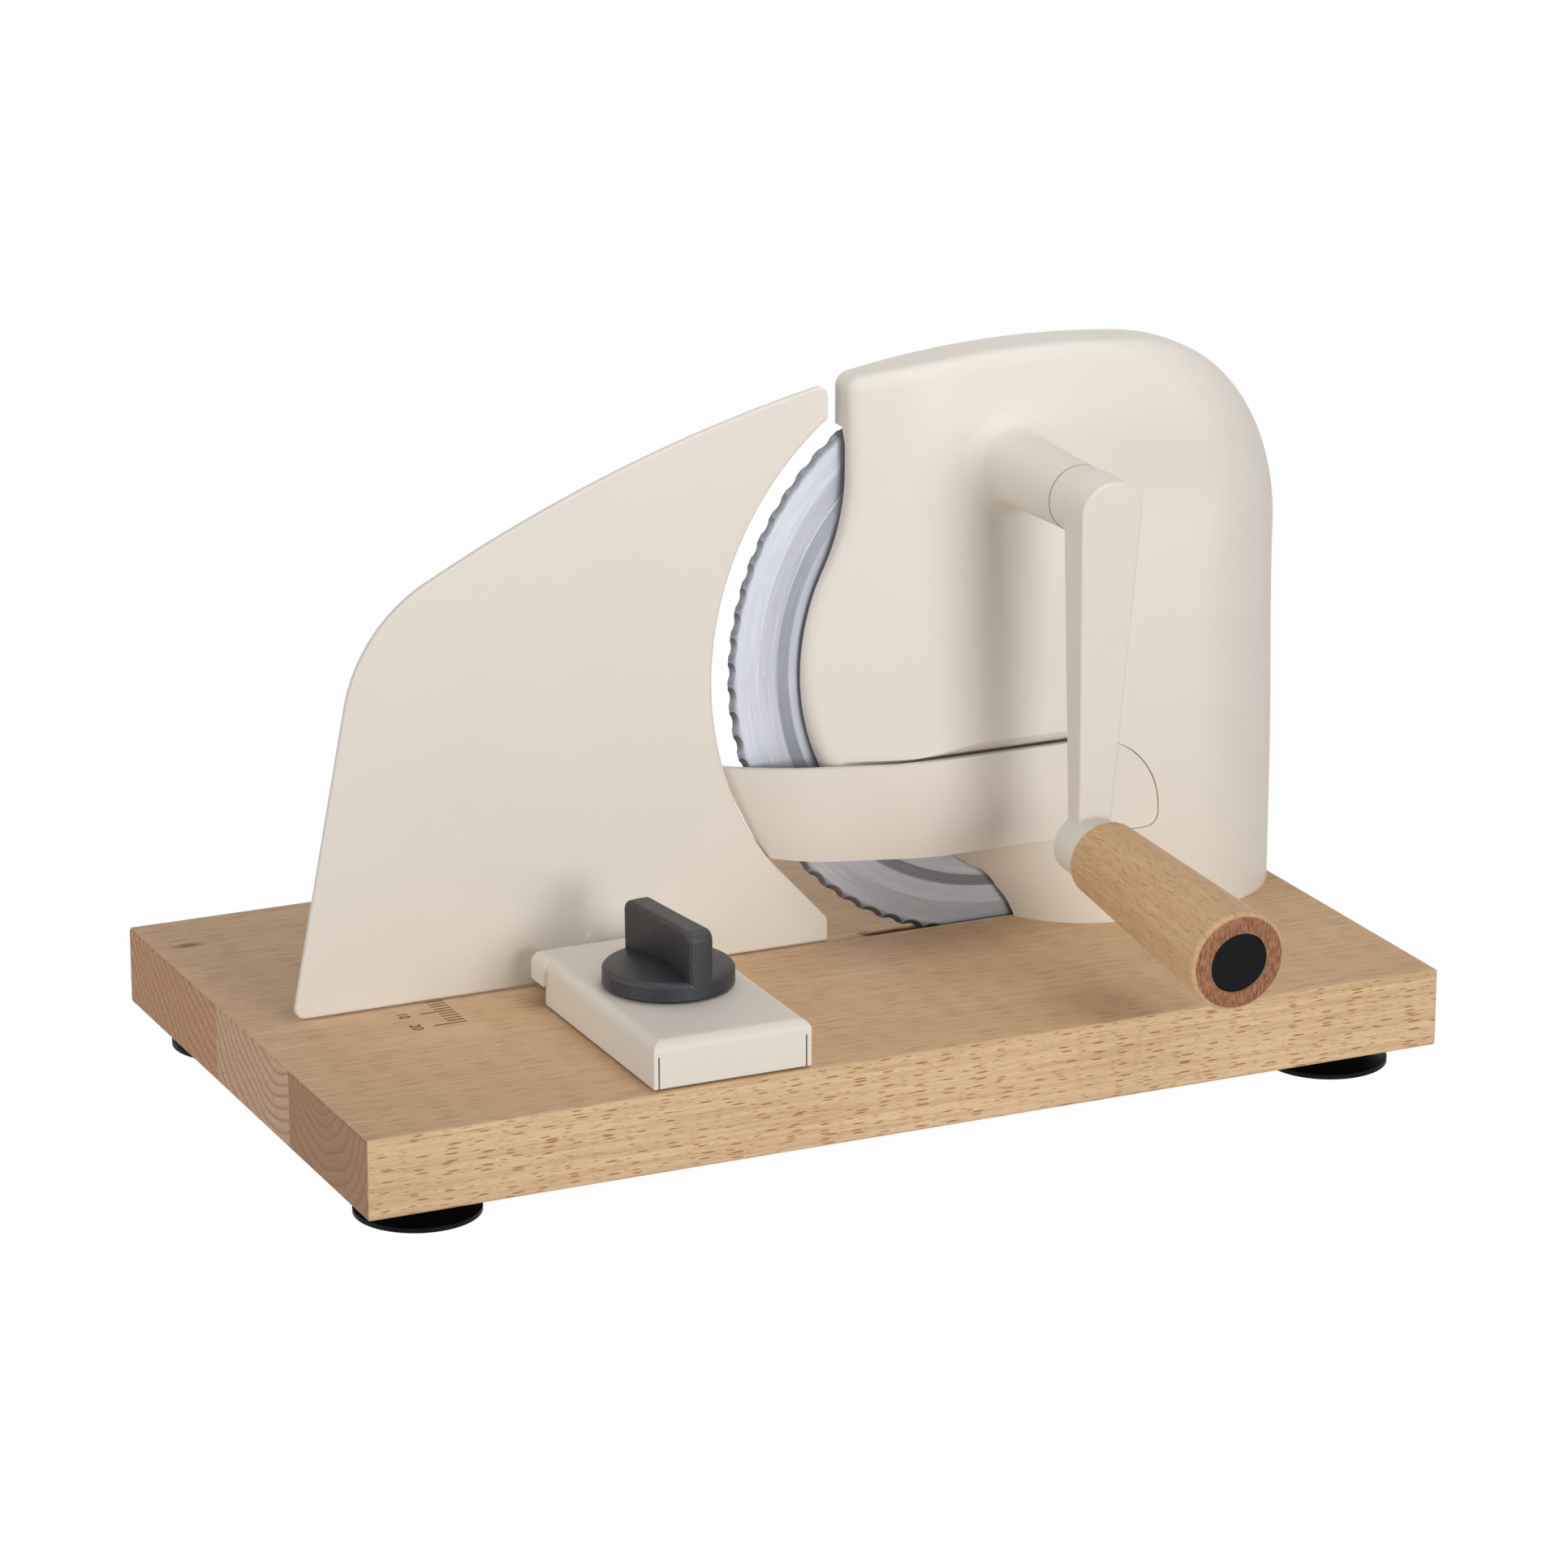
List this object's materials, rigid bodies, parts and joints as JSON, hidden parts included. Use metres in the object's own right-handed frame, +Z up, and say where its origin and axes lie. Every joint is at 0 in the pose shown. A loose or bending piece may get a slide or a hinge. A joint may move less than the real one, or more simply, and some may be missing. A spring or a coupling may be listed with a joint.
{
  "type": "bread slicer with crank",
  "caption": "Hand-cranked bread slicer: round serrated blade in a coated housing, sliding fence plate, clamp knob and wooden grip on a beech board with suction feet.",
  "frame": {"origin": "on the table, under the middle of the bounding box of the whole slicer with its crank grip down in front", "axes": "+X along the board from the fence's end to the housing's end, +Y from the crank side to the bread side, +Z up"},
  "size_m": [0.32, 0.2452, 0.1996],
  "materials": {
    "beech": "edge-glued beech, fine open grain, oiled satin",
    "cream_coat": "fine-textured cream powder coat, satin",
    "blade_steel": "hardened stainless steel, circular satin grind",
    "steel": "zinc-plated steel",
    "bronze": "plain bearing bronze",
    "gear_plastic": "natural acetal",
    "black_plastic": "fine-grained black plastic",
    "foot_rubber": "soft black rubber",
    "grip_beech": "turned beech, oiled satin"
  },
  "bodies": {
    "base": {"base_board": "beech", "suction_foot_front_left": "foot_rubber", "suction_foot_front_right": "foot_rubber", "suction_foot_back_left": "foot_rubber", "suction_foot_back_right": "foot_rubber", "foot_screws": "steel", "housing_shell": "cream_coat", "housing_screws": "steel", "crank_bush": "bronze", "axle_stud": "steel", "axle_clip": "steel", "gear_washer": "gear_plastic", "guard_strap": "cream_coat", "guard_screws": "steel", "guide_rail": "gear_plastic", "rail_screws": "steel", "clamp_stud": "steel"},
    "fence": {"fence_plate": "cream_coat", "slider_cover": "cream_coat", "fence_rivets": "steel"},
    "knob": {"knob": "black_plastic", "knob_insert": "bronze"},
    "crank": {"crank_shaft": "steel", "crank_pinion": "gear_plastic", "crank_arm": "cream_coat", "grip_bolt": "steel", "grip_washer": "gear_plastic"},
    "grip": {"grip": "grip_beech", "grip_plug": "black_plastic"},
    "blade": {"blade": "blade_steel", "blade_gear": "gear_plastic", "blade_lock": "steel"}
  },
  "joints": [
    {"name": "crank_turn", "type": "hinge", "parent": "base", "child": "crank", "pos_m": [0.065, -0.00542, 0.16774], "axis": [0, 1, 0], "continuous": true},
    {"name": "blade_spin", "type": "hinge", "parent": "base", "child": "blade", "pos_m": [0.0704, 0.02458, 0.111], "axis": [0, 1, 0], "continuous": true},
    {"name": "grip_spin", "type": "hinge", "parent": "crank", "child": "grip", "pos_m": [0.065, -0.04489, 0.07016], "axis": [0, -0.9968, -0.0802], "continuous": true},
    {"name": "knob_turn", "type": "hinge", "parent": "base", "child": "knob", "pos_m": [-0.0551, -0.02092, 0.0444], "axis": [0, 0, 1], "range_deg": [0, 270]},
    {"name": "fence_slide", "type": "slide", "parent": "base", "child": "fence", "axis": [0, -1, 0], "range_m": [0, 0.02]}
  ],
  "couplings": [
    {"joint": "blade_spin", "follows": "crank_turn", "ratio": -0.5}
  ]
}
